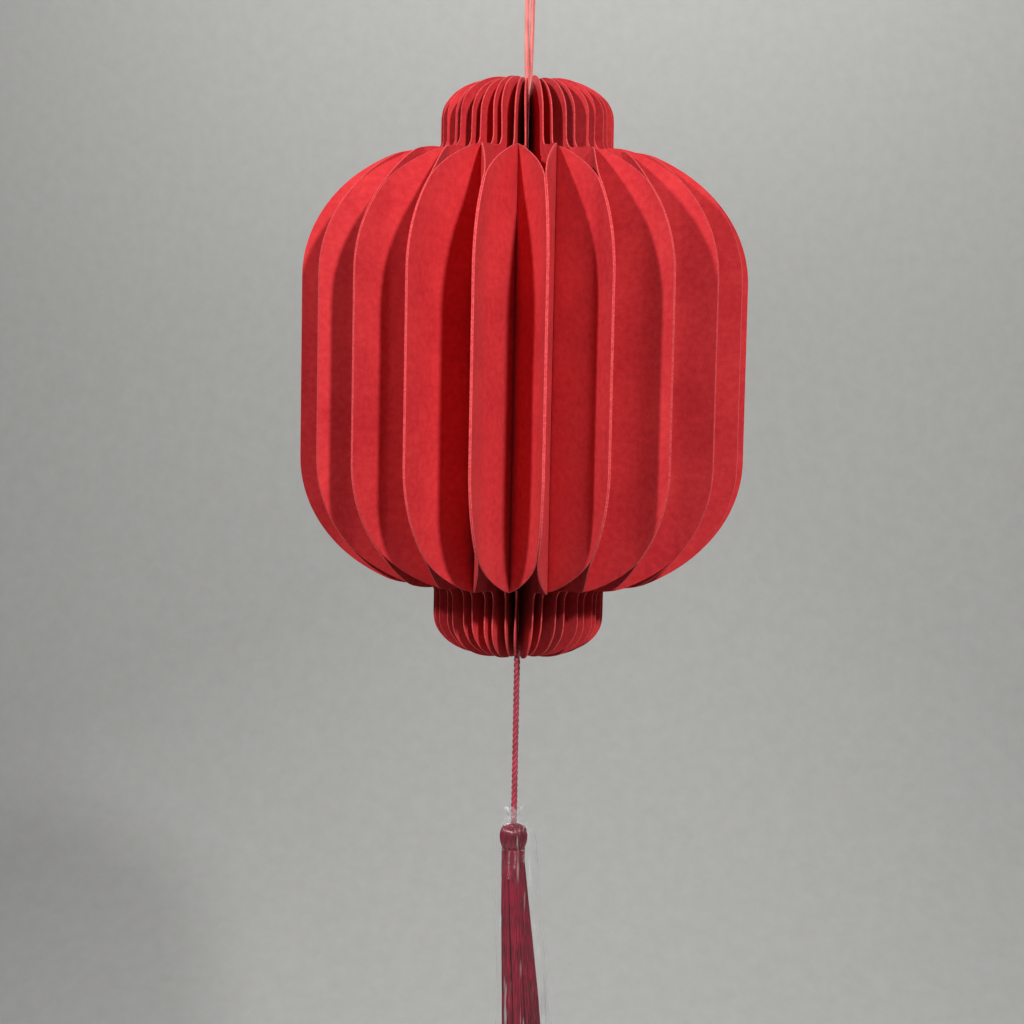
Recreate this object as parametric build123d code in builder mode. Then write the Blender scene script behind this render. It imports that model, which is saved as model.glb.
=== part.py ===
"""Accordion paper lantern, hung on a doubled cord, with a tassel below it.

Millimetres, +Z up, front towards -Y. The origin is the hang point: the inside of
the top of the hanging loop, where a hook carries the lantern.

The body is a fan of half-lantern card leaves round a narrow bore. Neighbouring
leaves are bound at the spine, so each pair turns about a line on the bore's edge,
and the whole fan closes flat into a stack. Each leaf is made here as a flat plate
at its mean direction.
"""

import os
from math import asin, cos, degrees, pi, radians, sin, sqrt, tan

from build123d import *

# ---- Body of card leaves ----
LEAF_COUNT = 44             # half-lantern leaves in a full turn
LEAF_THICKNESS = 0.45       # card
LEAF_GAP = 0.15             # air between two leaves of the closed stack
BODY_RADIUS = 80.0          # axis to the outer edge of a leaf
BODY_HALF_HEIGHT = 76.4     # lantern's middle to the flat top of the wide body
SIDE_HALF_HEIGHT = 31.5     # half of the straight outer edge
SHOULDER_REACH = 56.6       # the shoulder's oval: how far it would run inwards
SHOULDER_CUT = 3.6          # how much of that oval's top the flat top takes off
SHOULDER_BLEND = 30.0       # rounding between the oval and the flat top
COLLAR_RADIUS = 30.8        # axis to the collar's edge
COLLAR_RISE = 26.6          # flat top of the wide body to the top of the collar
COLLAR_ROUND_REACH = 20.5   # rounding of the collar's rim, inwards
COLLAR_ROUND_DROP = 14.0    # rounding of the collar's rim, downwards
COLLAR_FOOT_FILLET = 4.5    # inside corner where the collar meets the wide body
SPINE_DIP = 5.0             # how far the leaves are cut back round the bore's ends

# ---- Hanging cord: one cord, doubled ----
LANTERN_DROP = 165.0        # hang point to the lantern's middle
CORD_DIAMETER = 1.9
CORD_GAP = 0.04             # air between the two strands
LOOP_KNOT_TOP = -23.6
LOOP_KNOT_HEIGHT = 9.0
LOOP_KNOT_RADIUS = 3.6
LOOP_KNOT_END_RADIUS = 2.6  # flat ends, where the strands go in
LOOP_START_DEPTH = 0.42     # the loop's route starts in the knot, and its tube is cut flat on top

# The loop's route, right half, as (x, z): out of the knot, round, and over the top.
LOOP_RIGHT = [(1.2, LOOP_KNOT_TOP - LOOP_START_DEPTH), (8.4, -9.0), (5.4, CORD_DIAMETER / 2)]

# ---- Knot under the leaves, which carries them ----
SPINE_KNOT_LIP = 0.305      # how much wider than the bore the knot is
SPINE_KNOT_CLEARANCE = 0.3  # knot to the leaves, and to the cords' ends

# ---- Tassel ----
TASSEL_CORD_DIAMETER = 2.6
TASSEL_CORD_LENGTH = 61.3
TASSEL_CLEARANCE = 0.3      # cord's end to the knob, which turns under it
KNOB_HEIGHT = 9.5
KNOB_RADIUS = 5.05
KNOB_SHOULDER = 3.2         # rounding of the knob's top and bottom
BINDING_LENGTH = 10.5
BINDING_RADIUS = 4.7
BINDING_WALL = 0.6
BINDING_FIT = 0.05          # binding to the strands inside it
SKIRT_LENGTH = 120.0
SKIRT_HALF_WIDTH = 8.2      # at the strands' ends, seen from the front
SKIRT_HALF_DEPTH = 7.0
SLEEVE_WALL = 0.25
SLEEVE_NECK_SLACK = 0.75    # air between the gathered mouth and the cord
SLEEVE_NECK_RISE = 4.0      # mouth above the knob's top
SLEEVE_KNOB_SLACK = 1.15    # film's outside past the knob, front and back
SLEEVE_FOOT_SLACK = 2.4     # film's outside past the strands' ends, front and back
SLEEVE_SIDE_SLACK = 0.8     # and this much more at the sides, where the bag lies flat
SLEEVE_OVERHANG = 5.0       # sleeve past the strands' ends

# ---- Adhesive pads that join the first and last leaf of the open fan ----
PAD_WIDTH = 8.0
PAD_LENGTH = 22.0
PAD_THICKNESS = 0.3
PAD_EDGE_MARGIN = 1.5       # pad to the leaf's outer edge
PAD_SPACING = 36.0          # between the two pads' middles

# ---- Worked out from the above ----
LEAF_ANGLE = 360 / LEAF_COUNT
LEAF_PITCH = LEAF_THICKNESS + LEAF_GAP
HINGE_RADIUS = LEAF_PITCH / 2 / sin(radians(LEAF_ANGLE / 2))
BORE_RADIUS = LEAF_PITCH / 2 / tan(radians(LEAF_ANGLE / 2))
LANTERN_MIDDLE = -LANTERN_DROP
SHOULDER_RISE = BODY_HALF_HEIGHT + SHOULDER_CUT - SIDE_HALF_HEIGHT
SHOULDER_TURN = degrees(asin(1 - SHOULDER_CUT / SHOULDER_RISE))
COLLAR_HALF_HEIGHT = BODY_HALF_HEIGHT + COLLAR_RISE
SPINE_HALF_HEIGHT = COLLAR_HALF_HEIGHT - SPINE_DIP
STRAND_X = (CORD_DIAMETER + CORD_GAP) / 2
SPINE_TOP = LANTERN_MIDDLE + SPINE_HALF_HEIGHT
SPINE_KNOT_RADIUS = BORE_RADIUS + SPINE_KNOT_LIP
KNOT_REACH = SPINE_KNOT_RADIUS + SPINE_KNOT_CLEARANCE
SPINE_KNOT_Z = LANTERN_MIDDLE - SPINE_HALF_HEIGHT - sqrt(KNOT_REACH**2 - BORE_RADIUS**2)
TASSEL_CORD_TOP = SPINE_KNOT_Z - KNOT_REACH
TASSEL_CORD_END = TASSEL_CORD_TOP - TASSEL_CORD_LENGTH
KNOB_TOP = TASSEL_CORD_END - TASSEL_CLEARANCE
KNOB_BOTTOM = KNOB_TOP - KNOB_HEIGHT
BINDING_BOTTOM = KNOB_BOTTOM - BINDING_LENGTH
SKIRT_BOTTOM = BINDING_BOTTOM - SKIRT_LENGTH
SKIRT_NECK_RADIUS = BINDING_RADIUS - BINDING_WALL - BINDING_FIT
SLEEVE_TOP = KNOB_TOP + SLEEVE_NECK_RISE
SLEEVE_LENGTH = SLEEVE_TOP - SKIRT_BOTTOM + SLEEVE_OVERHANG
SLEEVE_NECK_RADIUS = TASSEL_CORD_DIAMETER / 2 + SLEEVE_NECK_SLACK + SLEEVE_WALL
SLEEVE_KNOB_DEPTH = KNOB_RADIUS + SLEEVE_KNOB_SLACK
SLEEVE_KNOB_WIDTH = SLEEVE_KNOB_DEPTH + SLEEVE_SIDE_SLACK
SLEEVE_FOOT_DEPTH = SKIRT_HALF_DEPTH + SLEEVE_FOOT_SLACK
SLEEVE_FOOT_WIDTH = SKIRT_HALF_WIDTH + SLEEVE_FOOT_SLACK + SLEEVE_SIDE_SLACK

# Sections of the strands, as (below their top, sideways drift, half width, half depth).
SKIRT_SECTIONS = [
    (0, 0.5, BINDING_RADIUS - 0.5, BINDING_RADIUS - 0.5),
    (0.06 * SKIRT_LENGTH, 0.8, BINDING_RADIUS + 0.2, BINDING_RADIUS - 0.1),
    (0.45 * SKIRT_LENGTH, 4.4, SKIRT_HALF_WIDTH - 1.0, SKIRT_HALF_DEPTH - 1.0),
    (SKIRT_LENGTH, 7.0, SKIRT_HALF_WIDTH, SKIRT_HALF_DEPTH),
]
# Sections of the film sleeve, as (below its mouth, sideways drift, half width, half depth).
SLEEVE_SECTIONS = [
    (0, 0.0, SLEEVE_NECK_RADIUS, SLEEVE_NECK_RADIUS),
    (SLEEVE_NECK_RISE + 2.7, 0.9, SLEEVE_KNOB_WIDTH + 0.6, SLEEVE_KNOB_DEPTH),
    (SLEEVE_NECK_RISE + KNOB_HEIGHT + BINDING_LENGTH, 1.6, SLEEVE_KNOB_WIDTH + 1.1, SLEEVE_KNOB_DEPTH + 0.4),
    (SLEEVE_LENGTH - 0.6 * SKIRT_LENGTH, 5.1, SLEEVE_FOOT_WIDTH - 1.0, SLEEVE_FOOT_DEPTH - 1.0),
    (SLEEVE_LENGTH, 7.6, SLEEVE_FOOT_WIDTH, SLEEVE_FOOT_DEPTH),
]


def finish(part, name):
    """Label a piece and write it to its own file."""
    part.label = name
    export_step(part, f"parts/{name}.step")


def leaf_azimuth(number):
    """Direction of a leaf from +X, in degrees. Leaf 1 is the core leaf, and the rest follow anticlockwise."""
    return (number - 1.5) * LEAF_ANGLE


def leaf_plane(azimuth):
    """The plane that a leaf lies in: X outwards from the axis, Y up, Z clockwise round the lantern."""
    turn = radians(azimuth)
    outwards = (cos(turn), sin(turn), 0)
    clockwise = (sin(turn), -cos(turn), 0)
    return Plane(origin=(0, 0, LANTERN_MIDDLE), x_dir=outwards, z_dir=clockwise)


def oval_tube_section(section, top, inset=0.0):
    """One oval section of the tassel's strands or sleeve, on its own level."""
    depth, drift, half_width, half_depth = section
    plane = Plane(origin=(drift, 0, top - depth))
    with BuildSketch(plane) as oval:
        Ellipse(half_width - inset, half_depth - inset)
    return oval.sketch


def leaf_outline():
    """Half of the lantern's outline, which every leaf is cut to: a wide body and a collar at each end."""
    with BuildSketch() as outline:
        # the body: straight outer edge, rounded shoulders, flat top
        with BuildLine():
            shoulder = EllipticalCenterArc(
                (BODY_RADIUS - SHOULDER_REACH, SIDE_HALF_HEIGHT),
                SHOULDER_REACH,
                SHOULDER_RISE,
                start_angle=0,
                arc_size=SHOULDER_TURN,
            )
            Line((BODY_RADIUS, 0), shoulder @ 0)
            Polyline(shoulder @ 1, (BORE_RADIUS, BODY_HALF_HEIGHT), (BORE_RADIUS, 0))
            mirror(about=Plane.XZ)
        make_face()
        # the collars, on the same spine, cut back round the bore's ends
        with BuildLine():
            rim = EllipticalCenterArc(
                (COLLAR_RADIUS - COLLAR_ROUND_REACH, COLLAR_HALF_HEIGHT - COLLAR_ROUND_DROP),
                COLLAR_ROUND_REACH,
                COLLAR_ROUND_DROP,
                start_angle=0,
                arc_size=90,
            )
            Line((COLLAR_RADIUS, 0), rim @ 0)
            Polyline(rim @ 1, (BORE_RADIUS, SPINE_HALF_HEIGHT), (BORE_RADIUS, 0))
            mirror(about=Plane.XZ)
        make_face()
        flat_top_corners = [v for v in outline.vertices() if abs(abs(v.Y) - BODY_HALF_HEIGHT) < 0.01]
        fillet([v for v in flat_top_corners if abs(v.X - COLLAR_RADIUS) > 0.01], SHOULDER_BLEND)
        fillet([v for v in flat_top_corners if abs(v.X - COLLAR_RADIUS) < 0.01], COLLAR_FOOT_FILLET)
    return outline.sketch


def make_leaves():
    outline = leaf_outline()
    for number in range(1, LEAF_COUNT + 1):
        with BuildPart() as leaf:
            with BuildSketch(leaf_plane(leaf_azimuth(number))):
                add(outline)
            extrude(amount=LEAF_THICKNESS / 2, both=True)
        finish(leaf.part, f"leaf_{number:02d}")


def make_closing_pads():
    """Pads on the free face of the last leaf, on each side of the seam's middle."""
    seam_leaf = LEAF_COUNT // 2 + 1
    face = leaf_plane(leaf_azimuth(seam_leaf)).offset(-LEAF_THICKNESS / 2)
    pad_x = BODY_RADIUS - PAD_EDGE_MARGIN - PAD_WIDTH / 2
    for name, pad_y in (("closing_pad_upper", PAD_SPACING / 2), ("closing_pad_lower", -PAD_SPACING / 2)):
        with BuildPart() as pad:
            with BuildSketch(face):
                with Locations((pad_x, pad_y)):
                    Rectangle(PAD_WIDTH, PAD_LENGTH)
            extrude(amount=-PAD_THICKNESS)
        finish(pad.part, name)


def make_strands(name, top, bottom):
    """A straight stretch of the doubled cord."""
    with BuildPart() as strands:
        with BuildSketch(Plane.XY.offset(bottom)):
            with Locations((-STRAND_X, 0), (STRAND_X, 0)):
                Circle(CORD_DIAMETER / 2)
        extrude(amount=top - bottom)
    finish(strands.part, name)


def make_hanging_loop():
    """The loop above the knot: straight runs joined by tangent arcs, as large as the runs allow."""
    left = [(-x, z) for x, z in LOOP_RIGHT]
    route = [Vector(x, 0, z) for x, z in left + LOOP_RIGHT[::-1]]
    runs = [b - a for a, b in zip(route, route[1:])]
    radii = []
    for before, after in zip(runs, runs[1:]):
        shorter = min(before.length, after.length)
        radii.append(0.45 * shorter / tan(radians(before.get_angle(after) / 2)))
    print("hanging loop radii", [round(r, 1) for r in radii])
    with BuildPart() as loop:
        with BuildLine() as path:
            FilletPolyline(*route, radius=radii)
        with BuildSketch(path.line ^ 0):
            Circle(CORD_DIAMETER / 2)
        sweep()
        with BuildSketch(Plane.XY.offset(LOOP_KNOT_TOP)):
            Circle(2 * LOOP_KNOT_RADIUS)
        extrude(amount=-LOOP_KNOT_HEIGHT, mode=Mode.SUBTRACT)
    section = pi * CORD_DIAMETER**2 / 4
    length = sum(edge.length for edge in path.edges())
    print("hanging loop length", round(length, 1), "volume / section", round(loop.part.volume / section, 1))
    finish(loop.part, "hanging_loop")


def make_barrel(name, bottom, height, radius, end_radius, round_height):
    """A turned lump with flat ends and rounded shoulders."""
    with BuildPart() as lump:
        with BuildSketch(Plane.XZ) as profile:
            with BuildLine():
                low = EllipticalCenterArc(
                    (end_radius, bottom + round_height), radius - end_radius, round_height,
                    start_angle=270, arc_size=90,
                )
                high = EllipticalCenterArc(
                    (end_radius, bottom + height - round_height), radius - end_radius, round_height,
                    start_angle=0, arc_size=90,
                )
                Line(low @ 1, high @ 0)
                Polyline(high @ 1, (0, bottom + height), (0, bottom), low @ 0)
            make_face()
        revolve(axis=Axis.Z)
    finish(lump.part, name)


def make_spine_knot():
    """The round knot on which the leaves stand, and which turns in the mouth of the bore."""
    with BuildPart() as knot:
        with Locations((0, 0, SPINE_KNOT_Z)):
            Sphere(SPINE_KNOT_RADIUS)
    finish(knot.part, "spine_knot")


def make_tassel_cord():
    with BuildPart() as cord:
        with BuildSketch(Plane.XY.offset(TASSEL_CORD_END)):
            Circle(TASSEL_CORD_DIAMETER / 2)
        extrude(amount=TASSEL_CORD_LENGTH)
    finish(cord.part, "tassel_cord")


def make_tassel_binding():
    """A band of wound thread round the strands, under the knob."""
    with BuildPart() as binding:
        with BuildSketch(Plane.XY.offset(BINDING_BOTTOM)):
            Circle(BINDING_RADIUS)
            Circle(BINDING_RADIUS - BINDING_WALL, mode=Mode.SUBTRACT)
        extrude(amount=BINDING_LENGTH)
    finish(binding.part, "tassel_binding")


def make_tassel_skirt():
    """The strands as one closed body: a neck inside the binding, then the spreading skirt."""
    with BuildPart() as skirt:
        for section in SKIRT_SECTIONS:
            add(oval_tube_section(section, BINDING_BOTTOM))
        loft(ruled=True)
        with BuildSketch(Plane.XY.offset(BINDING_BOTTOM - SKIRT_NECK_RADIUS)):
            Circle(SKIRT_NECK_RADIUS)
        extrude(amount=BINDING_LENGTH + SKIRT_NECK_RADIUS)
    finish(skirt.part, "tassel_skirt")


def make_tassel_sleeve():
    """The clear film sleeve: gathered at its mouth round the cord, open at its foot."""
    with BuildPart() as sleeve:
        for section in SLEEVE_SECTIONS:
            add(oval_tube_section(section, SLEEVE_TOP))
        loft(ruled=True)
        for section in SLEEVE_SECTIONS:
            add(oval_tube_section(section, SLEEVE_TOP, inset=SLEEVE_WALL))
        loft(ruled=True, mode=Mode.SUBTRACT)
    finish(sleeve.part, "tassel_sleeve")


os.makedirs("parts", exist_ok=True)
make_leaves()
make_closing_pads()
make_hanging_loop()
make_barrel(
    "loop_knot",
    bottom=LOOP_KNOT_TOP - LOOP_KNOT_HEIGHT,
    height=LOOP_KNOT_HEIGHT,
    radius=LOOP_KNOT_RADIUS,
    end_radius=LOOP_KNOT_END_RADIUS,
    round_height=LOOP_KNOT_HEIGHT / 3,
)
make_strands("hanging_cord", LOOP_KNOT_TOP - LOOP_KNOT_HEIGHT, SPINE_TOP)
make_strands("spine_cord", SPINE_TOP, SPINE_KNOT_Z + KNOT_REACH)
make_spine_knot()
make_tassel_cord()
make_barrel(
    "tassel_knob",
    bottom=KNOB_BOTTOM,
    height=KNOB_HEIGHT,
    radius=KNOB_RADIUS,
    end_radius=KNOB_RADIUS - KNOB_SHOULDER,
    round_height=KNOB_SHOULDER,
)
make_tassel_binding()
make_tassel_skirt()
make_tassel_sleeve()
print("hinge radius", round(HINGE_RADIUS, 4), "bore radius", round(BORE_RADIUS, 4))
print("spine knot z", round(SPINE_KNOT_Z, 3), "knob top", round(KNOB_TOP, 3), "sleeve foot", SLEEVE_TOP - SLEEVE_LENGTH)
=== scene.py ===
# %% [markdown]
# # An accordion paper lantern
# The real lantern is forty-four half-lantern leaves of red card, bound at a hollow spine like
# the pages of a book and glued to each other in turn, so that the book opens right round into a
# ring of petals. A doubled cord runs through the spine, and a tassel in a clear film sleeve
# hangs below. The CAD frame holds the sizes, the bodies and the joints. This script dresses it.

import math
import random

import bmesh
import bpy
from mathutils import Matrix, Vector


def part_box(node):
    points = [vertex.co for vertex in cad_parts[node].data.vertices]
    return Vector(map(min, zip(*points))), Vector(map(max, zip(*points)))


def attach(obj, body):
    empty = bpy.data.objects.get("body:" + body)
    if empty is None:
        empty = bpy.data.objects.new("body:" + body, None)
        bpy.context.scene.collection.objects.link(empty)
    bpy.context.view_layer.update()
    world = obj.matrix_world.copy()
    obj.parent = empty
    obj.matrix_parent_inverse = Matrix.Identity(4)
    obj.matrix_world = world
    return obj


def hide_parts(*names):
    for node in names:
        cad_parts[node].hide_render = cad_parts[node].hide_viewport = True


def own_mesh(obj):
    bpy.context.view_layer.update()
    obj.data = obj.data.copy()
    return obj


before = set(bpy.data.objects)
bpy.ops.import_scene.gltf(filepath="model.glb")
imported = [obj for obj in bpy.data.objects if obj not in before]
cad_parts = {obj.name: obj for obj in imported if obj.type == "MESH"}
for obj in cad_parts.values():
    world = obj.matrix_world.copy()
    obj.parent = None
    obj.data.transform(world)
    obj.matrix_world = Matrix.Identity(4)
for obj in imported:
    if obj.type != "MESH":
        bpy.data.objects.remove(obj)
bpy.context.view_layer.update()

MM = 0.001
UP = Vector((0, 0, 1))
leaf_names = sorted(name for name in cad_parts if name.startswith("leaf_"))
LEAVES = len(leaf_names)
LEAF_ANGLE = math.tau / LEAVES
leaf_low, leaf_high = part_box("leaf_01")
MIDDLE = (leaf_low.z + leaf_high.z) / 2
COLLAR_HALF_HEIGHT = (leaf_high.z - leaf_low.z) / 2
BODY_RADIUS = leaf_high.x / math.cos(LEAF_ANGLE / 2)
print("leaves", LEAVES, "middle", round(MIDDLE, 4), "radius", round(BODY_RADIUS, 4))

# %% [markdown]
# ## The camera
# The lantern is seen from about arm's length through a slightly long lens, level with its middle
# and tipped down a little, so the lantern sits high in the frame. The camera is turned a few
# degrees off the front valley and rolled by one degree, because nobody holds one quite straight.

# %% Camera
CAMERA_DISTANCE = 0.650
CAMERA_AZIMUTH = math.radians(3.41)
CAMERA_YAW = math.radians(0.256)
CAMERA_PITCH = math.radians(4.52)
CAMERA_ROLL = math.radians(1.12)
SENSOR_WIDTH = 36        # both in millimetres, as Blender gives them
LENS = 63.0
camera_data = bpy.data.cameras.new("camera")
camera_data.sensor_width = SENSOR_WIDTH
camera_data.lens = LENS
camera_data.dof.use_dof = False
camera = bpy.data.objects.new("camera", camera_data)
bpy.context.scene.collection.objects.link(camera)
bpy.context.scene.camera = camera
eye = Vector((math.sin(CAMERA_AZIMUTH), -math.cos(CAMERA_AZIMUTH), 0)) * CAMERA_DISTANCE
camera.location = eye + UP * MIDDLE
aim = (
    Matrix.Rotation(CAMERA_AZIMUTH + CAMERA_YAW, 4, "Z")
    @ Matrix.Rotation(math.pi / 2 - CAMERA_PITCH, 4, "X")
    @ Matrix.Rotation(CAMERA_ROLL, 4, "Z")
)
camera.rotation_euler = aim.to_euler()
print("camera", CAMERA_DISTANCE, "m from the lantern,", LENS, "mm lens")

# %% [markdown]
# ## Small helpers
# Every new piece goes through the same steps: a mesh becomes an object at the origin, it gets its
# materials, and it rides on a body of the frame.

# %% Helpers
def new_object(name, mesh, *materials):
    """An object at the origin with this mesh and these materials."""
    obj = bpy.data.objects.new(name, mesh)
    bpy.context.scene.collection.objects.link(obj)
    for material in materials:
        mesh.materials.append(material)
    return obj


def mesh_from(bm, name):
    """Turns a bmesh into a mesh with outward faces and smooth shading."""
    bmesh.ops.recalc_face_normals(bm, faces=bm.faces)
    for face in bm.faces:
        face.smooth = True
    mesh = bpy.data.meshes.new(name)
    bm.to_mesh(mesh)
    bm.free()
    return mesh


# %% [markdown]
# ## Threads and smooth lines
# Curves are the easy way to lay thread: a NURBS spline with a bevel is a round tube, and the same
# spline without a bevel gives the points down its middle. An order of 3 has to be set after the
# points are there, or the spline stays a chain of straight runs.

# %% Threads and lines
def thread_curve(name, routes, radius, sides=1, steps=8):
    """A curve of smooth threads, one along each route of points."""
    curve = bpy.data.curves.new(name, "CURVE")
    curve.dimensions = "3D"
    curve.bevel_depth = radius
    curve.bevel_resolution = sides
    curve.use_fill_caps = radius > 0
    curve.resolution_u = steps
    for route in routes:
        spline = curve.splines.new("NURBS")
        spline.points.add(len(route) - 1)
        for point, place in zip(spline.points, route):
            point.co = (*place, 1)
        spline.order_u = 3
        spline.use_endpoint_u = True
    return curve


def thread_mesh(name, routes, radius, sides=1, steps=8):
    """The same threads as a mesh."""
    curve = thread_curve(name, routes, radius, sides, steps)
    holder = bpy.data.objects.new(name, curve)
    mesh = bpy.data.meshes.new_from_object(holder)
    bpy.data.objects.remove(holder)
    bpy.data.curves.remove(curve)
    mesh.name = name
    return mesh


def smooth_line(route, steps=8):
    """Points down the middle of the NURBS spline that a route makes."""
    mesh = thread_mesh("line", [route], 0, steps=steps)
    points = [v.co.copy() for v in mesh.vertices]
    bpy.data.meshes.remove(mesh)
    return points


def smoothstep(share):
    """Eases a share in and out, and holds it between 0 and 1."""
    share = min(1.0, max(0.0, share))
    return share * share * (3 - 2 * share)


def between(a, b, share):
    """The value that lies a share of the way from a to b."""
    return a + (b - a) * share


# %% [markdown]
# ## Finish helpers
# Every finish is built from the same few nodes: noise and waves on the piece's own coordinates,
# a ramp from a dark shade to a light one, and a bump. Each helper adds one of them. Values that
# are the same all over a surface go straight onto the shader's own sockets.

# %% Finish helpers
def principled(name, colour, roughness):
    material = bpy.data.materials.new(name)
    material.use_nodes = True
    shader = material.node_tree.nodes["Principled BSDF"]
    shader.inputs["Base Color"].default_value = (*colour, 1)
    shader.inputs["Roughness"].default_value = roughness
    return material, material.node_tree, shader


def node(tree, kind, **values):
    """A new node with its settings and its input values."""
    made = tree.nodes.new(kind)
    for key, value in values.items():
        if key in made.inputs:
            made.inputs[key].default_value = value
        else:
            setattr(made, key, value)
    return made


def noise(tree, coordinates, scale, detail=3.0, roughness=0.6):
    made = node(tree, "ShaderNodeTexNoise", Scale=scale, Detail=detail, Roughness=roughness)
    tree.links.new(coordinates, made.inputs["Vector"])
    return made.outputs["Fac"]


def wave(tree, coordinates, direction, scale, distortion=0.6):
    made = node(tree, "ShaderNodeTexWave", bands_direction=direction, Scale=scale)
    made.inputs["Distortion"].default_value = distortion
    made.inputs["Detail"].default_value = 1.0
    made.inputs["Detail Scale"].default_value = 3.0
    tree.links.new(coordinates, made.inputs["Vector"])
    return made.outputs["Fac"]


def ramp(tree, factor, dark, light, low=0.3, high=0.7):
    made = tree.nodes.new("ShaderNodeValToRGB")
    made.color_ramp.elements[0].position = low
    made.color_ramp.elements[0].color = (*dark, 1)
    made.color_ramp.elements[1].position = high
    made.color_ramp.elements[1].color = (*light, 1)
    tree.links.new(factor, made.inputs["Fac"])
    return made.outputs["Color"]


# %% [markdown]
# ## Mixing and bumping
# Most surfaces need several noises added up in unequal parts. A weighted sum does that with plain
# Math nodes. The same height that shades a surface can also drive its bump, so the two agree.

# %% Sums, ranges and bumps
def math_node(tree, operation, a, b):
    made = tree.nodes.new("ShaderNodeMath")
    made.operation = operation
    for socket, value in zip(made.inputs, (a, b)):
        if isinstance(value, (int, float)):
            socket.default_value = value
        else:
            tree.links.new(value, socket)
    return made.outputs["Value"]


def weighted_sum(tree, *parts):
    """Adds up outputs, each times its weight."""
    total = None
    for output, weight in parts:
        part = math_node(tree, "MULTIPLY", output, weight)
        total = part if total is None else math_node(tree, "ADD", total, part)
    return total


def remap(tree, output, low, high, top):
    """Turns the range from low to high into 0 to top."""
    made = tree.nodes.new("ShaderNodeMapRange")
    tree.links.new(output, made.inputs["Value"])
    for socket, value in (("From Min", low), ("From Max", high), ("To Max", top)):
        made.inputs[socket].default_value = value
    return made.outputs["Result"]


def bump(tree, shader, height, distance, strength):
    made = node(tree, "ShaderNodeBump", Distance=distance, Strength=strength)
    tree.links.new(height, made.inputs["Height"])
    tree.links.new(made.outputs["Normal"], shader.inputs["Normal"])


# %% [markdown]
# ## Thread and cord finish
# All the cords are spun from shiny rayon. The noise is drawn out along the height, so the colour
# changes slowly down a hanging thread and quickly across it, as drawn fibre does. The dyes
# differ: the hanging cord is coral, and the tassel and its cord are crimson.

# %% Thread materials
def thread_material(name, dark, light, roughness=0.42, sheen=0.35, streak=900):
    material, tree, shader = principled(name, light, roughness)
    place = node(tree, "ShaderNodeTexCoord").outputs["Object"]
    stretched = node(tree, "ShaderNodeMapping", Scale=(1.0, 1.0, 0.12))
    tree.links.new(place, stretched.inputs["Vector"])
    fibres = noise(tree, stretched.outputs["Vector"], streak, detail=3.0, roughness=0.65)
    patches = noise(tree, place, 90, detail=2.0)
    shade = weighted_sum(tree, (fibres, 0.7), (patches, 0.3))
    tree.links.new(ramp(tree, shade, dark, light, 0.36, 0.62), shader.inputs["Base Color"])
    shader.inputs["Sheen Weight"].default_value = sheen
    shader.inputs["Sheen Roughness"].default_value = 0.4
    shader.inputs["Specular IOR Level"].default_value = 0.75
    bump(tree, shader, fibres, 0.00006, 0.6)
    return material


coral_cord = thread_material("coral_cord", (0.62, 0.10, 0.095), (0.90, 0.30, 0.27), roughness=0.7)
crimson_cord = thread_material("crimson_cord", (0.22, 0.006, 0.022), (0.46, 0.022, 0.055), roughness=0.55)
crimson_thread = thread_material(
    "crimson_thread", (0.06, 0.001, 0.008), (0.34, 0.005, 0.032), roughness=0.24, sheen=0.02, streak=1500
)
print("thread finishes", coral_cord.name, crimson_cord.name, crimson_thread.name)

# %% [markdown]
# ## Laying yarns along a route
# A cord is yarns that wind round a line. A braid has four yarns wound each way, which pass over
# and under one another. A laid cord has a few plies, each a bundle wound the other way. Both are
# worked out from a line's points and two directions across it, so the ribs are real shape.

# %% Lay yarns along a route
def cross_directions(points):
    """A pair of directions across the line at each point, carried along it without twisting."""
    tangents = []
    for i, point in enumerate(points):
        ahead = points[min(i + 1, len(points) - 1)] - points[max(i - 1, 0)]
        tangents.append(ahead.normalized())
    side = tangents[0].orthogonal().normalized()
    result = []
    for tangent in tangents:
        side = (side - tangent * side.dot(tangent)).normalized()
        result.append((side, tangent.cross(side)))
    return result


def resample(points, step):
    """The same line with evenly spaced points."""
    lengths = [(b - a).length for a, b in zip(points, points[1:])]
    total = sum(lengths)
    count = max(2, round(total / step))
    result, walked, i = [], 0.0, 0
    for k in range(count + 1):
        want = total * k / count
        while i < len(lengths) - 1 and walked + lengths[i] < want:
            walked += lengths[i]
            i += 1
        share = (want - walked) / max(lengths[i], 1e-9)
        result.append(points[i].lerp(points[i + 1], min(1.0, max(0.0, share))))
    return result, total


def wound(points, offset, pitch, start, hand=1, weave=0.0, weave_turns=0):
    """A yarn that winds round a line of points. With a weave it also goes over and under."""
    route, walked = [], 0.0
    for i, (point, (side, up)) in enumerate(zip(points, cross_directions(points))):
        if i:
            walked += (point - points[i - 1]).length
        turn = start + hand * math.tau * walked / pitch
        reach = offset + weave * math.cos(weave_turns * turn * hand + start)
        route.append(point + (side * math.cos(turn) + up * math.sin(turn)) * reach)
    return route


# %% [markdown]
# ## Braided and laid cord
# The shapes of both cords are shares of the cord's radius, so a thicker cord gets thicker yarns
# and a longer pitch by itself. The braid's core fills the hollow that its yarns leave.

# %% Braid and twist
BRAID_YARNS = 8
BRAID_YARN_SHARE = 0.30     # a yarn's radius over the cord's
BRAID_PITCH_SHARE = 3.0     # the length of one turn over the cord's radius
WEAVE_SHARE = 0.35          # how far a yarn goes over and under, over its own radius


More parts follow.
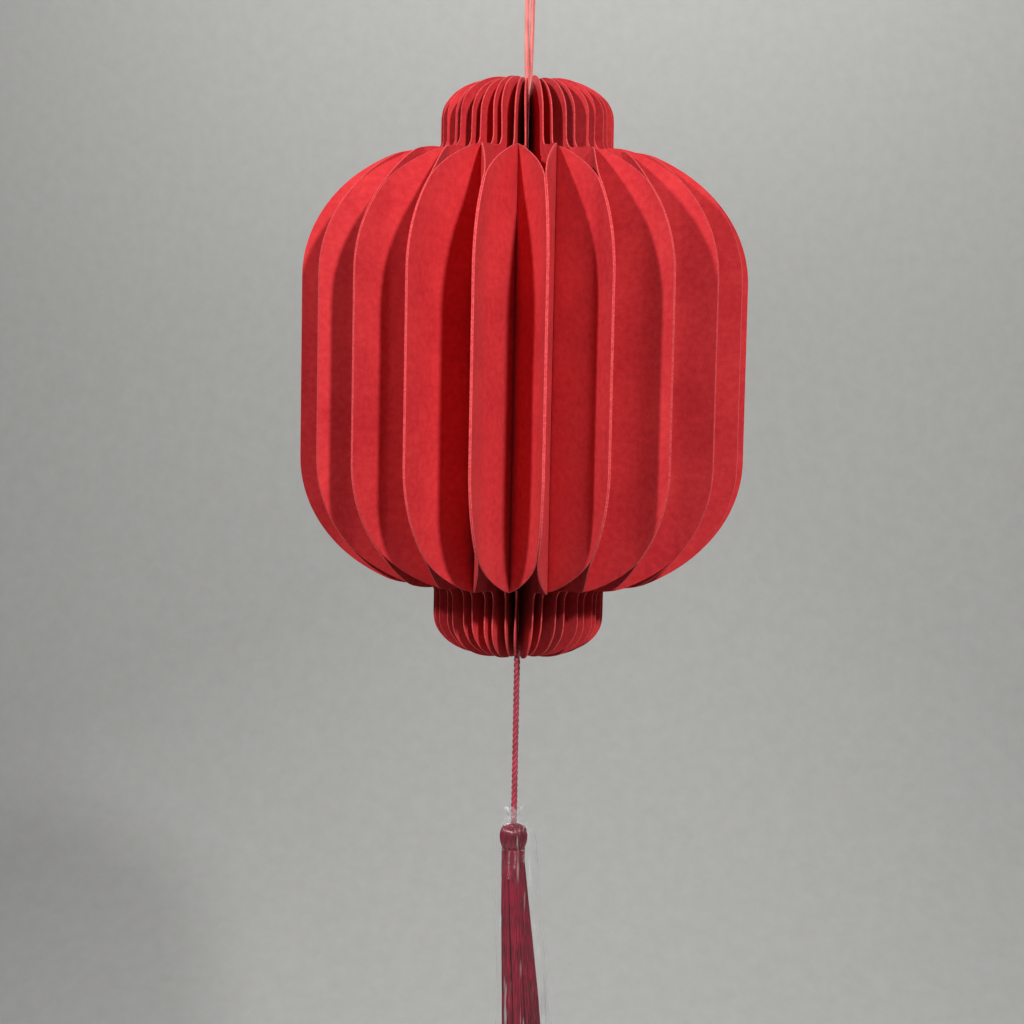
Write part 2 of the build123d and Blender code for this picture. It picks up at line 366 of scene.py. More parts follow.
def braid_routes(points, radius):
    """The yarns of a round braid with this outer radius, and its core."""
    yarn = radius * BRAID_YARN_SHARE
    offset = radius - yarn * (1 + WEAVE_SHARE)
    pitch = radius * BRAID_PITCH_SHARE
    routes = []
    for k in range(BRAID_YARNS):
        hand = 1 if k % 2 else -1
        start = math.tau * k / BRAID_YARNS
        routes.append(wound(points, offset, pitch, start, hand, yarn * WEAVE_SHARE, BRAID_YARNS // 2))
    routes.append(points)       # the core
    return routes, yarn


PLY_SHARE = 0.58            # a ply's radius over the cord's
PLY_YARN_SHARE = 0.40       # a yarn's radius over its ply's
PLY_PITCH_SHARE = 0.45      # the pitch inside a ply over the cord's


def twist_routes(points, radius, pitch, plies=3, yarns=5):
    """Plies twisted round each other, and each ply is a bundle of twisted yarns."""
    ply_radius = radius * PLY_SHARE
    yarn = ply_radius * PLY_YARN_SHARE
    routes = []
    for ply in range(plies):
        middle = wound(points, radius - ply_radius, pitch, math.tau * ply / plies)
        for k in range(yarns):
            start = math.tau * k / yarns
            routes.append(wound(middle, ply_radius - yarn, pitch * PLY_PITCH_SHARE, start, hand=-1))
    return routes, yarn


# %% [markdown]
# ## The hanging cord
# One round braided cord, doubled: it comes up out of the spine, goes through its knot, makes the
# loop that hangs on a hook, and goes back down beside itself. A carried load keeps it straight,
# and the two strands roll a little round each other before they reach the card. The route is the
# spline's control points, and the yarns of the braid follow the smooth line.

# %% Hanging cord
CORD_DIAMETER = 1.9 * MM
STRAND_X = 0.97 * MM        # half the distance between the two strands
BRAID_STEP = 0.2 * MM
spine_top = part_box("spine_cord")[1].z
knot_low, knot_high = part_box("loop_knot")
# each place on a strand: its height, and how far the pair has rolled there, in degrees
STRAND_ROLL = [
    (spine_top, 62), (spine_top + 9 * MM, 50), (spine_top + 20 * MM, 20), (knot_low.z - 2 * MM, 0)
]
# the right half of the loop, from the knot to its crown: X and Z in millimetres
LOOP_RIGHT = [(1.2, -24.02), (8.4, -9.0), (5.4, 0.95)]


def strand(side):
    """One strand from the spine to the knot. Side is -1 for the left one and 1 for the right one."""
    places = []
    for height, roll in STRAND_ROLL:
        turn = math.radians(roll)
        reach = side * STRAND_X
        places.append(Vector((reach * math.cos(turn), reach * math.sin(turn), height)))
    return places


hanging_route = strand(-1)
hanging_route += [Vector((-x, 0, z)) * MM for x, z in LOOP_RIGHT]
hanging_route += [Vector((x, 0, z)) * MM for x, z in reversed(LOOP_RIGHT)]
hanging_route += reversed(strand(1))
hanging_line, hanging_length = resample(smooth_line(hanging_route, steps=14), BRAID_STEP)
yarn_routes, yarn_radius = braid_routes(hanging_line, CORD_DIAMETER / 2)
hanging_mesh = thread_mesh("hanging_cord_braid", yarn_routes, yarn_radius, sides=1, steps=1)
hanging_cord = new_object("hanging_cord_braid", hanging_mesh, coral_cord)
print("hanging cord", round(hanging_length, 4), "m,", len(hanging_mesh.polygons), "faces")

# %% [markdown]
# ## The loop's knot
# The knot is a few turns of the same cord wound round both strands, a little fatter in the middle
# than at its ends. It is a piece on the cord.

# %% Loop knot
KNOT_TURNS = 4
KNOT_POINTS = 12            # in one turn
KNOT_TAPER = 0.5 * MM       # how much narrower the knot is at its ends
KNOT_STEP = 0.25 * MM
knot_height = knot_high.z - knot_low.z - CORD_DIAMETER
knot_radius = knot_high.x - CORD_DIAMETER / 2
knot_route = []
for k in range(KNOT_TURNS * KNOT_POINTS + 1):
    turn = math.tau * k / KNOT_POINTS
    share = k / (KNOT_TURNS * KNOT_POINTS)
    swell = knot_radius - KNOT_TAPER * (2 * share - 1) ** 4
    height = knot_low.z + CORD_DIAMETER / 2 + knot_height * share
    knot_route.append(Vector((swell * math.cos(turn), swell * math.sin(turn), height)))
knot_line, knot_length = resample(smooth_line(knot_route, steps=4), KNOT_STEP)
knot_yarns, yarn_radius = braid_routes(knot_line, CORD_DIAMETER / 2)
knot_mesh = thread_mesh("loop_knot_turns", knot_yarns, yarn_radius, sides=1, steps=1)
loop_knot = new_object("loop_knot_turns", knot_mesh, coral_cord)
print("loop knot", KNOT_TURNS, "turns of", round(knot_length, 4), "m in all")
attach(loop_knot, "hanger")
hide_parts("loop_knot")

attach(hanging_cord, "hanger")
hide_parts("hanging_cord", "hanging_loop")

# %% [markdown]
# ## The tassel's cord
# Below the card the cord is a different one: three thick plies laid round each other, each a bundle
# of yarns twisted the other way, which is what keeps a laid rope from undoing itself. It hangs
# straight, because the tassel pulls on it.

# %% Tassel cord
cord_low, cord_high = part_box("tassel_cord")
TASSEL_CORD_DIAMETER = cord_high.x - cord_low.x
TASSEL_CORD_PITCH = 6.5 * MM
TASSEL_CORD_STEP = 0.45 * MM
KNOT_ENTRY = 0.45 * MM      # how far the cord's top reaches into the knot's turns
CORD_STATIONS = (0, 0.1, 0.3, 0.5, 0.7, 0.9, 1)     # shares of its length, closer at the ends
cord_top = cord_high.z + KNOT_ENTRY
tassel_cord_route = [Vector((0, 0, between(cord_top, cord_low.z, share))) for share in CORD_STATIONS]
tassel_line, tassel_cord_length = resample(smooth_line(tassel_cord_route), TASSEL_CORD_STEP)
ply_routes, ply_yarn = twist_routes(tassel_line, TASSEL_CORD_DIAMETER / 2, TASSEL_CORD_PITCH)
tassel_cord_mesh = thread_mesh("tassel_cord_twist", ply_routes, ply_yarn, sides=1, steps=1)
tassel_cord = new_object("tassel_cord_twist", tassel_cord_mesh, crimson_cord)
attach(tassel_cord, "tassel_cord")
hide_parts("tassel_cord")
print("tassel cord", round(tassel_cord_length, 4), "m")

# %% [markdown]
# ## The knot under the card
# The lantern stands on a ball knot that the cord is tied into. It sits in the mouth of the spine,
# where the lower collar hides most of it. It is made as turns of cord laid round a ball in three
# directions, as on a monkey's fist.

# %% Spine knot
ball_low, ball_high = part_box("spine_knot")
ball_middle = (ball_low + ball_high) / 2
ball_radius = (ball_high.x - ball_low.x) / 2
BALL_CORD = 0.85 * MM       # the radius of the cord in the knot
BALL_PITCH = 5 * MM
BALL_STEP = 0.5 * MM
BALL_POINTS = 24            # round one turn, which runs on two more past its start
BALL_SHIFTS = (-1.7 * MM, 0, 1.7 * MM)      # the three turns laid side by side about each axis
ball_routes = []
for axis in (Vector((1, 0.2, 0.1)), Vector((-0.2, 1, 0.15)), Vector((0.1, -0.2, 1))):
    axis.normalize()
    side = axis.orthogonal().normalized()
    up = axis.cross(side)
    for shift in BALL_SHIFTS:
        ring = math.sqrt((ball_radius - BALL_CORD) ** 2 - shift ** 2)
        ball_routes.append([
            ball_middle + axis * shift + (side * math.cos(turn) + up * math.sin(turn)) * ring
            for turn in (math.tau * k / BALL_POINTS for k in range(BALL_POINTS + 2))
        ])
ball_yarns = []
for route in ball_routes:
    ball_line, _ = resample(route, BALL_STEP)
    turn_yarns, ball_yarn_radius = twist_routes(ball_line, BALL_CORD, BALL_PITCH, yarns=3)
    ball_yarns += turn_yarns
spine_knot_mesh = thread_mesh("spine_knot_turns", ball_yarns, ball_yarn_radius, sides=1, steps=1)
spine_knot = new_object("spine_knot_turns", spine_knot_mesh, crimson_cord)
print("spine knot", len(ball_routes), "turns,", len(spine_knot_mesh.polygons), "faces")
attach(spine_knot, "spine_knot")
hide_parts("spine_knot")

# %% [markdown]
# ## Card
# The card is dyed through, matt and slightly furry, with a faint linen grain that follows each
# sheet. The leaves carry a UV map in metres, outwards and up, so the grain runs with the sheet
# however it is bent. Fine noise gives the fibres, two crossed waves the linen, and a slow noise
# the uneven dye. The cut edges are a second, lighter material. Their lighter colour is partly the
# pale, brushed-up fibres of a cut edge and partly a painted highlight where the thin edges catch the light.

# %% Card materials
def card_material():
    material, tree, shader = principled("card", (0.60, 0.030, 0.036), 0.88)
    uv = node(tree, "ShaderNodeUVMap", uv_map="sheet").outputs["UV"]
    fibres = noise(tree, uv, 2600, detail=4.0, roughness=0.7)
    dye = noise(tree, uv, 38, detail=3.0)
    mottle = noise(tree, uv, 420, detail=2.0)
    linen = math_node(tree, "ADD", wave(tree, uv, "X", 330), wave(tree, uv, "Y", 300))
    shade = weighted_sum(tree, (dye, 0.45), (mottle, 0.35), (fibres, 0.2))
    colour = ramp(tree, shade, (0.52, 0.022, 0.030), (0.70, 0.045, 0.050), 0.38, 0.62)
    tree.links.new(colour, shader.inputs["Base Color"])
    shader.inputs["Specular IOR Level"].default_value = 0.15
    shader.inputs["Sheen Weight"].default_value = 0.03
    shader.inputs["Sheen Roughness"].default_value = 0.5
    height = math_node(tree, "ADD", math_node(tree, "MULTIPLY", linen, 0.12), fibres)
    bump(tree, shader, height, 0.00009, 0.55)
    return material


# The cut edge is lighter and paler than the face: partly its fibres, partly a painted highlight.
def card_edge_material():
    material, tree, shader = principled("card_edge_and_painted_highlight", (0.66, 0.06, 0.065), 0.9)
    place = node(tree, "ShaderNodeTexCoord").outputs["Object"]
    fuzz = noise(tree, place, 1500, detail=3.0)
    colour = ramp(tree, fuzz, (0.56, 0.036, 0.042), (0.78, 0.095, 0.098), 0.35, 0.65)
    tree.links.new(colour, shader.inputs["Base Color"])
    shader.inputs["Specular IOR Level"].default_value = 0.2
    shader.inputs["Sheen Weight"].default_value = 0.06
    bump(tree, shader, fuzz, 0.0001, 0.4)
    return material


card = card_material()
card_edge_and_painted_highlight = card_edge_material()
print("card finishes", card.name, card_edge_and_painted_highlight.name)

# %% [markdown]
# ## Cutting one sheet
# All the leaves are cut to one outline: a wide body with rounded shoulders and a small collar
# above and below. It is drawn once, in the plane of radius and height. Spinning a single vertex
# and stretching the result gives each oval arc, the upper half is mirrored down, and the face is
# then sliced by upright and level planes, which give it the points that it needs to bend at.

# %% The sheet's outline
SIDE_HALF_HEIGHT = 31.5 * MM
BODY_HALF_HEIGHT = 76.4 * MM
SHOULDER_REACH = 56.6 * MM
SHOULDER_CUT = 3.6 * MM
SHOULDER_BLEND = 5.2 * MM   # from the corner of the flat top to where its rounding starts
COLLAR_RADIUS = 30.8 * MM
COLLAR_ROUND_REACH = 20.5 * MM
COLLAR_ROUND_DROP = 14.0 * MM
COLLAR_FOOT_FILLET = 4.5 * MM
SPINE_DIP = 5.0 * MM
SHEET_THICKNESS = 0.45 * MM
BORE_RADIUS = 4.2 * MM

GLUED_FROM = 34.0 * MM      # the pairs of leaves come together here
VALLEY_RADIUS = 45.5 * MM   # and part again here
STRIP_FROM = 66.0 * MM      # outside this, neighbours lie together right out to the edge
# where the sheet is sliced, in millimetres: radii, and levels above and below its middle
BEND_RADII = [8, 14, 20, 25, 28, 30, 31.5, 33, 34, 37, 41, 44.5, 45.5]
BEND_RADII += [46.5, 48, 50, 52, 54, 56, 58, 60, 62, 64, 66, 70, 75, 78]
BEND_LEVELS = [12, 24, 36, 46, 54, 62, 68, 73, 78, 82, 86, 90, 95]
SHOULDER_STEPS = 36
COLLAR_STEPS = 24
CORNER_STEPS = 8
CREST_BEVEL = 0.96 * SHOULDER_BLEND     # short of the blend, so the bevel stops before the arc's end
SAME_PLACE = 1e-6           # points nearer than this are one


print("sheet", round(BODY_RADIUS / MM, 1), "mm out,", round(2 * COLLAR_HALF_HEIGHT / MM, 1), "mm high")

# %% [markdown]
# ## Drawing and slicing the sheet
# The upper half of the outline is two arcs and a few straight edges. One call fills it, a vertex
# bevel rounds the two corners, and a mirror makes the lower half. Slicing a single flat face is
# safer than building a grid by hand, because the outline can't change.

# %% Draw and slice the sheet
def oval_arc(bm, centre, reach, rise, turn, steps):
    """A chain of edges round part of an oval, from its side upwards. Returns its two ends."""
    before = set(bm.verts)
    start = bm.verts.new((1, 0, 0))
    spun = bmesh.ops.spin(bm, geom=[start], cent=(0, 0, 0), axis=(0, -1, 0), angle=turn, steps=steps)
    end = next(v for v in spun["geom_last"] if isinstance(v, bmesh.types.BMVert))
    chain = [v for v in bm.verts if v not in before]
    bmesh.ops.scale(bm, vec=(reach, 1, rise), verts=chain)
    bmesh.ops.translate(bm, vec=(centre[0], 0, centre[1]), verts=chain)
    return start, end


def round_corner(bm, corner, offset):
    """Rounds one corner of an outline."""
    bmesh.ops.bevel(
        bm, geom=[corner], offset=offset, segments=CORNER_STEPS, profile=0.5, affect="VERTICES", material=-1
    )


def slice_sheet(bm, place, normal):
    """Cuts the sheet along a plane, which leaves points to bend it at."""
    everything = bm.verts[:] + bm.edges[:] + bm.faces[:]
    bmesh.ops.bisect_plane(bm, geom=everything, dist=SAME_PLACE, plane_co=place, plane_no=normal)


def flat_sheet():
    """The leaf's flat outline, sliced where it will bend. X is the radius and Z the height."""
    bm = bmesh.new()
    shoulder_centre = BODY_RADIUS - SHOULDER_REACH
    shoulder_rise = BODY_HALF_HEIGHT + SHOULDER_CUT - SIDE_HALF_HEIGHT
    full_turn = math.asin(1 - SHOULDER_CUT / shoulder_rise)
    crest_place = (shoulder_centre + SHOULDER_REACH * math.cos(full_turn), 0, BODY_HALF_HEIGHT)
    side, shoulder_end = oval_arc(
        bm, (shoulder_centre, SIDE_HALF_HEIGHT), SHOULDER_REACH, shoulder_rise,
        full_turn - SHOULDER_BLEND / SHOULDER_REACH, SHOULDER_STEPS,
    )
    rim_centre = (COLLAR_RADIUS - COLLAR_ROUND_REACH, COLLAR_HALF_HEIGHT - COLLAR_ROUND_DROP)
    rim_side, rim_top = oval_arc(
        bm, rim_centre, COLLAR_ROUND_REACH, COLLAR_ROUND_DROP, math.pi / 2, COLLAR_STEPS
    )
    crest = bm.verts.new(crest_place)
    foot = bm.verts.new((COLLAR_RADIUS, 0, BODY_HALF_HEIGHT))
    spine_end = bm.verts.new((BORE_RADIUS, 0, COLLAR_HALF_HEIGHT - SPINE_DIP))
    spine_middle = bm.verts.new((BORE_RADIUS, 0, 0))
    side_middle = bm.verts.new((BODY_RADIUS, 0, 0))
    bm.edges.new((rim_top, spine_end))
    for chain in ((shoulder_end, crest, foot, rim_side), (spine_end, spine_middle, side_middle, side)):
        for pair in zip(chain, chain[1:]):
            bm.edges.new(pair)
    bmesh.ops.contextual_create(bm, geom=bm.edges[:])
    round_corner(bm, crest, CREST_BEVEL)
    round_corner(bm, foot, COLLAR_FOOT_FILLET)
    everything = bm.verts[:] + bm.edges[:] + bm.faces[:]
    bmesh.ops.mirror(bm, geom=everything, axis="Z", merge_dist=SAME_PLACE)
    bmesh.ops.remove_doubles(bm, verts=bm.verts[:], dist=SAME_PLACE)
    bmesh.ops.recalc_face_normals(bm, faces=bm.faces[:])
    for radius in BEND_RADII:
        slice_sheet(bm, (radius * MM, 0, 0), (1, 0, 0))
    for level in BEND_LEVELS:
        slice_sheet(bm, (0, 0, level * MM), (0, 0, 1))
        slice_sheet(bm, (0, 0, -level * MM), (0, 0, 1))
    return bm


blank = flat_sheet()
print("one sheet has", len(blank.verts), "points and", len(blank.faces), "faces")

# %% [markdown]
# ## Bending the leaves
# Seen from above, two neighbouring leaves leave the spine apart, meet where they are glued, run
# together to the valley, and part again to meet their other neighbours at the outer edges. That
# plan is a short formula: how far a sheet stands from the middle of its glued pair at each
# radius. Hand gluing is never exact, so each valley and each outer edge is a little off its
# place, and each panel bows by a different amount.

# %% How far the hand gluing strays
rng = random.Random(7)
VALLEY_STRAY = math.radians(0.25)
EDGE_STRAY = math.radians(0.35)
pairs = LEAVES // 2
valley_stray = [rng.gauss(0, VALLEY_STRAY) for _ in range(pairs)]
edge_stray = [rng.gauss(0, EDGE_STRAY) for _ in range(pairs)]
# each leaf's own stray, in millimetres
BOW_RANGE = (-0.35, 0.55)   # its panel, to one side
SWAY_RANGE = (-0.75, 0.5)   # its collar, to one side
LEAN_RANGE = (-0.9, 0.9)    # its collar's top and foot, on top of the sway
CUT_RANGE = (-1.0, 0.15)    # its height above and below the middle
RIPPLE = 0.12 * MM          # a slow wave down the panel
RIPPLE_TURN = 14            # in radians, from the middle to the top
GRAIN_SHIFT = 0.37          # moves the grain from one leaf to the next
print("strays of", pairs, "valleys and", pairs, "outer edges")

# %% [markdown]
# ## The plan of one leaf
# The plan goes in four stretches: open from the spine, flat against its partner to the valley,
# nearly straight across the panel, and flat against its other partner out to the edge. In a
# collar, above and below the body, nothing is glued, and the leaves stay open.

# %% Plan of a leaf
SHEET_CLEARANCE = 0.02 * MM
HALF_SHEET = SHEET_THICKNESS / 2 + SHEET_CLEARANCE
SEAM_GAP = 0.16 * MM        # room for the pads between the first and last leaf
OPEN_TO = 27 * MM           # inside this, the leaves of a pair still stand apart
COLLAR_SPREAD = math.radians(3.6)
PANEL_EASE = 0.25           # how much a sheet curves between its two glued strips
seam_leaf = LEAVES // 2 + 1


def plan(radius, level, half_turn, bow, sway, gap):
    """Where a sheet is in plan: how far out, and how far from the middle of its glued pair."""
    if radius <= GLUED_FROM:
        # nothing is glued in a collar, so its leaves keep their spread right out to the rim
        in_body = abs(level) < BODY_HALF_HEIGHT
        share = smoothstep((radius - OPEN_TO) / (GLUED_FROM - OPEN_TO)) if in_body else 0
        collar = between(LEAF_ANGLE / 2, COLLAR_SPREAD, min(1, radius / COLLAR_RADIUS))
        open_side = radius * math.sin(collar) + sway * (radius / COLLAR_RADIUS)
        return radius, between(open_side, HALF_SHEET, share)
    if radius <= VALLEY_RADIUS:
        return radius, HALF_SHEET
    strip = Vector((math.cos(half_turn), math.sin(half_turn)))
    across = Vector((strip.y, -strip.x)) * (HALF_SHEET + gap)
    if radius >= STRIP_FROM:
        place = strip * radius + across
        return place.x, place.y
    share = (radius - VALLEY_RADIUS) / (STRIP_FROM - VALLEY_RADIUS)
    start = Vector((VALLEY_RADIUS, HALF_SHEET))
    end = strip * STRIP_FROM + across
    # nearly straight across the panel, and eased at both ends, where the glue holds the sheet
    eased = share + PANEL_EASE * (smoothstep(share) - share)
    place = start.lerp(end, share)
    place.y = between(start.y, end.y, eased)
    return place.x, place.y + bow * math.sin(math.pi * share)


print("panels", round((STRIP_FROM - VALLEY_RADIUS) / MM, 1), "mm wide between the glued strips")

# %% [markdown]
# ## Bending and placing the leaves
# Each leaf is a copy of the flat sheet, with every point moved by the plan and turned to its
# place round the spine. A Solidify modifier gives the card its thickness, and keeps it when the
# fan folds flat. Its rim takes the second material, which is the cut edge.

# %% Bend and place the leaves
def bent_leaf(number):
    """Leaf number counts anticlockwise from 1, the first one clockwise of +X."""
    azimuth = (number - 1.5) * LEAF_ANGLE
    ahead = 1 if number % 2 == 0 else -1        # which side of the leaf its glued pair lies on
    valley = round((azimuth + ahead * LEAF_ANGLE / 2) / (2 * LEAF_ANGLE) - 0.5)
    edge = round((azimuth - ahead * LEAF_ANGLE / 2) / (2 * LEAF_ANGLE))
    valley_turn = (2 * valley + 1) * LEAF_ANGLE + valley_stray[valley % pairs]
    edge_turn = 2 * edge * LEAF_ANGLE + edge_stray[edge % pairs]
    half_turn = abs(valley_turn - edge_turn)
    bow = rng.uniform(*BOW_RANGE) * MM
    sway = rng.uniform(*SWAY_RANGE) * MM
    lean = rng.uniform(*LEAN_RANGE) * MM
    cut = rng.uniform(*CUT_RANGE) * MM
    gap = SEAM_GAP if number in (seam_leaf, seam_leaf + 1) else 0
    bm = blank.copy()
    uv = bm.loops.layers.uv.new("sheet")
    for face in bm.faces:
        face.smooth = True
        for loop in face.loops:
            loop[uv].uv = (loop.vert.co.x + number * GRAIN_SHIFT, loop.vert.co.z)
    for line in bm.edges:
        line.smooth = not line.is_boundary
    ripple_start = rng.uniform(0, math.tau)
    turn = Matrix.Rotation(valley_turn, 3, "Z")
    for v in bm.verts:
        ripple = RIPPLE * math.sin(ripple_start + RIPPLE_TURN * v.co.z / COLLAR_HALF_HEIGHT)
        past_body = abs(v.co.z) - BODY_HALF_HEIGHT
        rim_sway = sway + lean * smoothstep(past_body / (COLLAR_HALF_HEIGHT - BODY_HALF_HEIGHT))
        out, side = plan(v.co.x, v.co.z, half_turn, bow + ripple, rim_sway, gap)
        height = MIDDLE + v.co.z + cut * v.co.z / COLLAR_HALF_HEIGHT
        v.co = turn @ Vector((out, -ahead * side, height))
    mesh = bpy.data.meshes.new(f"card_leaf_{number:02d}")
    bm.to_mesh(mesh)
    bm.free()
    return mesh, azimuth


for number in range(1, LEAVES + 1):
    leaf_mesh, azimuth = bent_leaf(number)
    leaf = new_object(f"card_leaf_{number:02d}", leaf_mesh, card, card_edge_and_painted_highlight)
    solid = leaf.modifiers.new("thickness", "SOLIDIFY")
    solid.thickness = SHEET_THICKNESS
    solid.offset = 0
    solid.material_offset_rim = 1
    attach(leaf, f"leaf_{number:02d}")
    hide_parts(f"leaf_{number:02d}")
    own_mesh(leaf)
blank.free()
print("bent and placed", LEAVES, "leaves")

# %% [markdown]
# ## The tassel's head
# A tassel is a hank of thread tied round its middle and folded in half. The fold makes the head,
# where the threads come over the top and run down its sides. A thread wound tightly round the
# neck keeps it in shape. Both are laid thread by thread here, over a plain core that keeps light
# from showing between them.

# %% Head
rng = random.Random(11)
head_low, head_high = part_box("tassel_knob")
band_low, band_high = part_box("tassel_binding")
HEAD_RADIUS = head_high.x
BAND_RADIUS = band_high.x - 0.3 * MM
HEAD_THREAD = 0.17 * MM
HEAD_THREADS = 96
CORE_TOP = 0.92             # the core's top and foot, as shares of the head's height
CORE_FOOT = 0.07
CORE_INSET = 0.55 * MM      # how far the core lies inside the threads
head_height = head_high.z - head_low.z
# the head's side view: how far out, as a share of its radius, at each share of its height
HEAD_PROFILE = [(0.28, 0.98), (0.5, 0.97), (0.86, 0.88), (1.0, 0.66), (1.0, 0.42), (0.93, 0.20), (0.78, 0.07)]


def head_thread(turn, twist, lift):
    """A thread from the top of the head down its side, with a little twist and lift of its own."""
    route = []
    for i, (out, rise) in enumerate(HEAD_PROFILE):
        angle = turn + twist * i / len(HEAD_PROFILE)
        reach = out * HEAD_RADIUS - HEAD_THREAD + lift
        height = head_low.z + rise * head_height
        route.append(Vector((reach * math.cos(angle), reach * math.sin(angle), height)))
    return route


head_routes = []
for k in range(HEAD_THREADS):
    turn = math.tau * (k + rng.uniform(-0.35, 0.35)) / HEAD_THREADS
    head_routes.append(head_thread(turn, rng.gauss(0.10, 0.05), rng.uniform(-0.35, 0.05) * MM))
for k in range(HEAD_THREADS // 2):
    turn = math.tau * rng.random()
    head_routes.append(head_thread(turn, rng.gauss(0.0, 0.16), rng.uniform(-0.1, 0.12) * MM))
head_mesh = thread_mesh("tassel_head_threads", head_routes, HEAD_THREAD, sides=0, steps=3)
head = new_object("tassel_head_threads", head_mesh, crimson_thread)


def turned_core(name, profile, material, steps=32):
    """A closed solid turned round Z from (radius, height) points."""
    bm = bmesh.new()
    verts = [bm.verts.new((radius, 0, height)) for radius, height in profile]
    for pair in zip(verts, verts[1:]):
        bm.edges.new(pair)
    bmesh.ops.spin(
        bm, geom=bm.verts[:] + bm.edges[:], cent=(0, 0, 0), axis=(0, 0, 1), angle=math.tau, steps=steps,
        use_merge=True,
    )
    bmesh.ops.remove_doubles(bm, verts=bm.verts[:], dist=SAME_PLACE)
    return new_object(name, mesh_from(bm, name), material)


core_profile = [(0, head_low.z + CORE_TOP * head_height)]
for out, rise in HEAD_PROFILE[1:]:
    core_profile.append((out * HEAD_RADIUS - CORE_INSET, head_low.z + min(rise, CORE_TOP) * head_height))
core_profile.append((0, head_low.z + CORE_FOOT * head_height))
head_core = turned_core("tassel_head_core", core_profile, crimson_thread)
print("tassel head", len(head_routes), "threads,", len(head_mesh.polygons), "faces")

# %% [markdown]
# ## The wound band
# One thread runs round the neck from top to bottom, close enough that its turns touch. Its radius
# strays a little from point to point, so that the turns catch the light unevenly.

# %% Band
BAND_THREAD = 0.22 * MM
BAND_TURNS = 25
BAND_POINTS = 20            # in one turn
band_top = band_high.z + 0.7 * MM       # up into the hollow under the head
band_core_top = band_top - 0.2 * MM
band_core_foot = band_low.z + 0.3 * MM
band_core_profile = [
    (0, band_core_top), (BAND_RADIUS - 0.6 * MM, band_core_top),
    (BAND_RADIUS - 0.5 * MM, band_core_foot), (0, band_core_foot),
]
band_core = turned_core("tassel_band_core", band_core_profile, crimson_thread)
band_route = []
for k in range(BAND_TURNS * BAND_POINTS + 1):
    turn = math.tau * k / BAND_POINTS
    reach = BAND_RADIUS - BAND_THREAD + rng.uniform(-0.05, 0.03) * MM
    share = k / (BAND_TURNS * BAND_POINTS)
    height = between(band_top - BAND_THREAD, band_low.z + BAND_THREAD, share)
    band_route.append(Vector((reach * math.cos(turn), reach * math.sin(turn), height)))
band_mesh = thread_mesh("tassel_band_thread", [band_route], BAND_THREAD, sides=1, steps=2)
band = new_object("tassel_band_thread", band_mesh, crimson_thread)
for piece in (head, head_core, band, band_core):
    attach(piece, "tassel")
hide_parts("tassel_knob")
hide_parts("tassel_binding")
print("band", BAND_TURNS, "turns,", len(band_mesh.polygons), "faces")

# %% [markdown]
# ## The strands
# The rest of the hank hangs as a few hundred loose threads. The bag presses them to one side, so
# the whole bunch drifts as it goes down. Each thread keeps its own place in the bunch, wanders a
# little, and ends at its own length. They have few sides each, because there are so many.

# %% Strands
STRANDS = 330
STRAND_RADIUS = 0.30 * MM
STRAND_STATIONS = 9         # stretches between a strand's points
STRAND_TOP = -0.05          # the strands start this share of their length above the band's foot
INNER_SHARE = 0.62          # how far in from the bunch's skin the innermost strand may lie
INNER_POWER = 2.2           # above 1 keeps most strands near the skin
STRAND_WAVES = 5.1
skirt_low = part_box("tassel_skirt")[0]
skirt_top = band_low.z
skirt_length = skirt_top - skirt_low.z
# the bunch: share of its length, drift, half width, half depth, in millimetres
BUNCH = [(-0.06, 0.0, 3.9, 3.9), (0.06, 0.8, 4.8, 4.5), (0.45, 4.2, 7.0, 5.8), (1.0, 6.8, 8.0, 6.8)]


def bunch_at(share):
    """Drift, half width and half depth of the bunch at a share of its length."""
    for low, high in zip(BUNCH, BUNCH[1:]):
        if share <= high[0]:
            blend = max(0.0, (share - low[0]) / (high[0] - low[0]))
            return [between(a, b, blend) for a, b in zip(low[1:], high[1:])]
    return list(BUNCH[-1][1:])


def strand_route(turn, reach, end, wander):
    """One strand: its place round the bunch, how far out it lies, where it ends and how it wanders."""
    route = []
    for i in range(STRAND_STATIONS + 1):
        share = between(STRAND_TOP, end, i / STRAND_STATIONS)
        drift, width, depth = bunch_at(share)
        sway = wander * math.sin(STRAND_WAVES * share + turn * 3) * share
        angle = turn + sway
        x = drift + width * reach * math.cos(angle)
        y = depth * reach * math.sin(angle)
        route.append(Vector((x * MM, y * MM, skirt_top - share * skirt_length)))
    return route


strand_routes = []
for k in range(STRANDS):
    reach = 1.0 - INNER_SHARE * rng.random() ** INNER_POWER
    turn = math.tau * rng.random()
    strand_routes.append(strand_route(turn, reach, rng.uniform(0.955, 0.998), rng.gauss(0, 0.22)))
strand_mesh = thread_mesh("tassel_strands", strand_routes, STRAND_RADIUS, sides=0, steps=2)
strands = new_object("tassel_strands", strand_mesh, crimson_thread)
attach(strands, "tassel")
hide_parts("tassel_skirt")
print("strands", STRANDS, "faces", len(strand_mesh.polygons))

# %% [markdown]
# ## The film sleeve
# The tassel is still in the thin clear bag that it was packed in. Clear film shows only where it
# folds, where it turns edge-on and where it is gathered. So its finish is almost clear, and three
# things make the whitish film more opaque: painted highlights in long streaks along creases from
# noise drawn out along the height, the rim from a Layer Weight node, and a faint milky band near
# the mouth, partly the gathered film's many layers and partly a painted highlight on its crumpled top.

# %% Film material
film_low, film_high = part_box("tassel_sleeve")
GATHER_AND_HIGHLIGHT_HEIGHT = 4 * MM        # how far below the mouth the gathered film is painted milky and bright
CLEAR_ALPHA = 0.012         # what even flat, clear film shows


